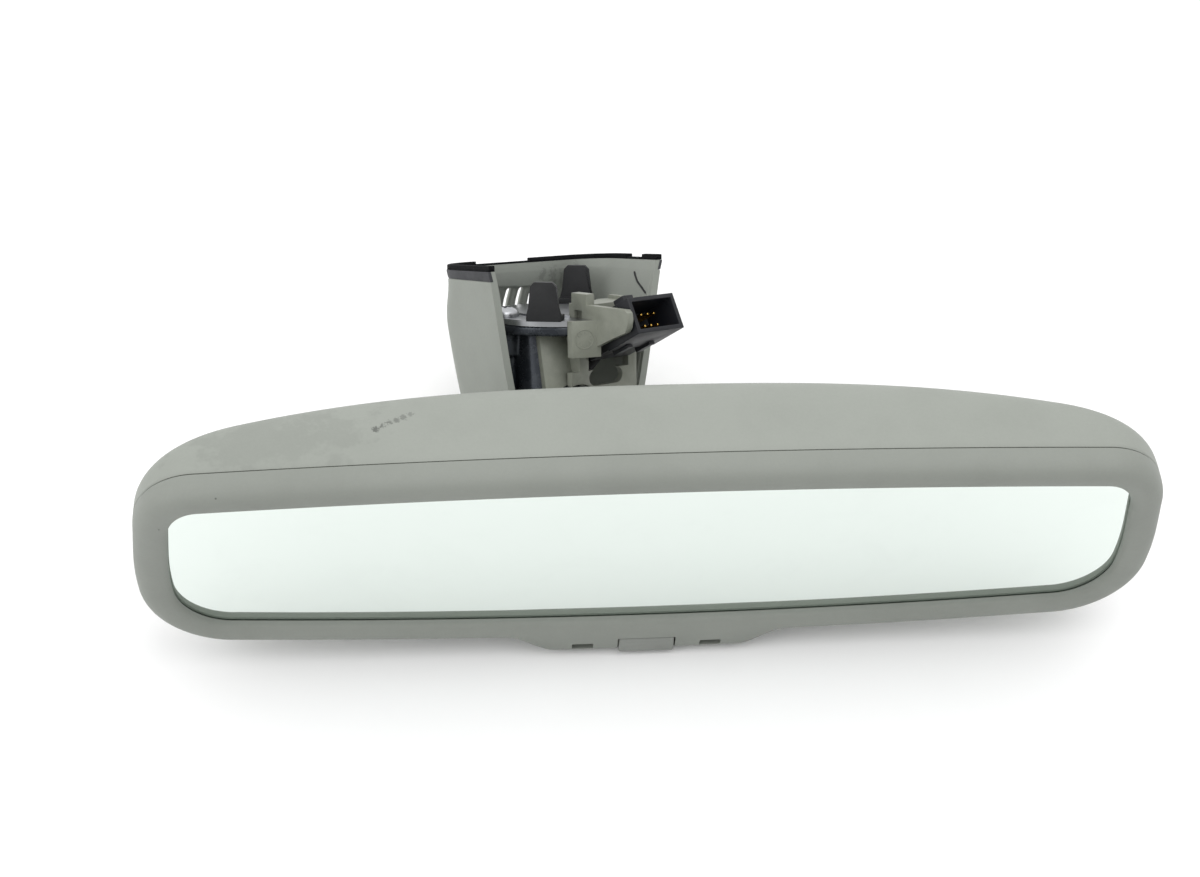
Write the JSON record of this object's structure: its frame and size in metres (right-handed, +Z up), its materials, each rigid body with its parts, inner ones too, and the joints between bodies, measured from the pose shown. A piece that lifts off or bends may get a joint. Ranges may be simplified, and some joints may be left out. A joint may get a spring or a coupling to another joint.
{
  "type": "interior rearview mirror",
  "caption": "Auto-dimming interior rearview mirror: long rounded head with a chin button, on a ball stud and arm, with bayonet seat, half cover and wiring connector.",
  "frame": {"origin": "centre of the bracket's seat plate, on its top face, where the windscreen foot rests", "axes": "+X along the mirror head to the driver's right as they look at the glass, +Y from the glass towards the windscreen, +Z up"},
  "size_m": [0.2566, 0.1094, 0.0776],
  "materials": {
    "bezel_plastic": "fine moulded grain",
    "housing_plastic": "fine moulded grain",
    "button_plastic": "satin",
    "dimming_glass": "polished",
    "mirror_glass": "mirror coated",
    "black_seal": "satin",
    "copper_strip": "tinned copper",
    "foam_pad": "foam",
    "black_plastic": "satin",
    "board_green": "solder mask",
    "component_black": "moulded",
    "plated_steel": "zinc plated",
    "ivory_plastic": "satin",
    "smoked_window": "smoked clear",
    "clear_pipe": "clear",
    "harness_sleeve": "matt",
    "nylon": "natural",
    "arm_metal": "dark glossy casting",
    "spring_steel_black": "black coated",
    "carrier_plastic": "satin",
    "gold_pins": "gold flash",
    "gasket_foam": "foam",
    "trim_rubber": "matt"
  },
  "bodies": {
    "bracket": {"ball_stud": "plated_steel", "arm": "arm_metal", "seat_plate": "plated_steel", "bayonet_hooks": "spring_steel_black", "base_screws": "plated_steel", "carrier": "carrier_plastic", "connector_housing": "black_plastic", "connector_pins": "gold_pins", "arm_harness": "harness_sleeve", "cover_shell": "housing_plastic", "cover_trim_band": "trim_rubber", "cover_gasket": "gasket_foam"},
    "rear_liner": {"ball_liner_rear": "nylon"},
    "front_liner": {"ball_liner_front": "nylon"},
    "head": {"bezel": "bezel_plastic", "rear_housing": "housing_plastic", "front_glass": "dimming_glass", "cell_seal": "black_seal", "rear_glass": "mirror_glass", "electrode_strips": "copper_strip", "glass_pad": "foam_pad", "backing_plate": "black_plastic", "circuit_board": "board_green", "board_parts": "component_black", "board_screws": "plated_steel", "board_header": "ivory_plastic", "dim_switch": "component_black", "glare_sensor": "component_black", "glare_window": "smoked_window", "status_led": "clear_pipe", "status_window": "smoked_window", "ambient_sensor": "component_black", "ambient_light_pipe": "clear_pipe", "head_harness": "harness_sleeve", "harness_plug": "ivory_plastic", "front_socket_plate": "plated_steel", "rear_socket_plate": "plated_steel", "socket_screws": "plated_steel", "preload_springs": "plated_steel"},
    "button": {"button": "button_plastic", "switch_plunger": "ivory_plastic"}
  },
  "joints": [
    {"name": "head_yaw", "type": "hinge", "parent": "bracket", "child": "rear_liner", "pos_m": [0.01929, -0.05419, -0.00434], "axis": [0, 0, 1], "range_deg": [-3, 45]},
    {"name": "head_roll", "type": "hinge", "parent": "rear_liner", "child": "front_liner", "pos_m": [0.01929, -0.05419, -0.00434], "axis": [0, 1, 0], "range_deg": [-8, 8]},
    {"name": "head_tilt", "type": "hinge", "parent": "front_liner", "child": "head", "pos_m": [0.01929, -0.05419, -0.00434], "axis": [1, 0, 0], "range_deg": [-12, 12]},
    {"name": "button_press", "type": "slide", "parent": "head", "child": "button", "axis": [0, 1, 0], "range_m": [0, 0.0008], "stiffness_N_per_m": 800, "springref_m": -0.001}
  ]
}
